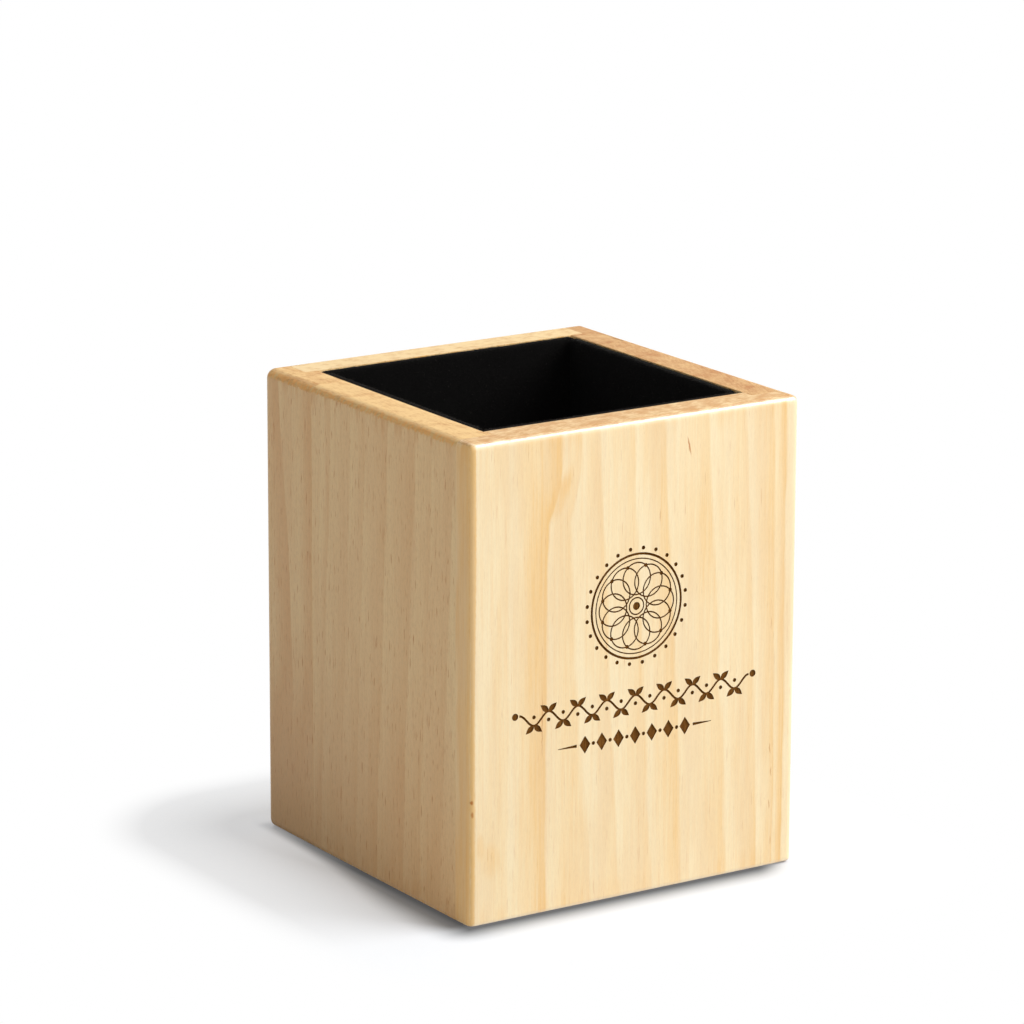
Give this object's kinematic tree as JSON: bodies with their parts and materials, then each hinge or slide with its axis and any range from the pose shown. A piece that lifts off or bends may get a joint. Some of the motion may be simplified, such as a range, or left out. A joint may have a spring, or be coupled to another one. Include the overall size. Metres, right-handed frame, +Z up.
{
  "type": "wooden pen cup",
  "caption": "Square wooden pen cup: solid boards glued up in rabbets around a bottom board, edges rounded over, lined with black felt, standing on a felt foot.",
  "frame": {"origin": "middle of the cup's footprint, on the surface that it stands on", "axes": "+Z up out of the mouth, -Y out of the front face, which carries the engraving, +X to the right seen from the front"},
  "size_m": [0.08, 0.08, 0.1003],
  "materials": {
    "front_wood": "satin clear varnish over pale straight-grained wood",
    "side_wood": "satin clear varnish over pale straight-grained wood",
    "bottom_wood": "sanded, unvarnished",
    "lining_felt": "soft black felt with a short nap",
    "foot_felt": "dense black felt"
  },
  "bodies": {
    "root": {"front_board": "front_wood", "back_board": "front_wood", "left_front_stave": "side_wood", "left_rear_stave": "side_wood", "right_front_stave": "side_wood", "right_rear_stave": "side_wood", "bottom_board": "bottom_wood", "floor_lining": "lining_felt", "front_lining": "lining_felt", "back_lining": "lining_felt", "left_lining": "lining_felt", "right_lining": "lining_felt", "foot_felt": "foot_felt"}
  },
  "joints": []
}
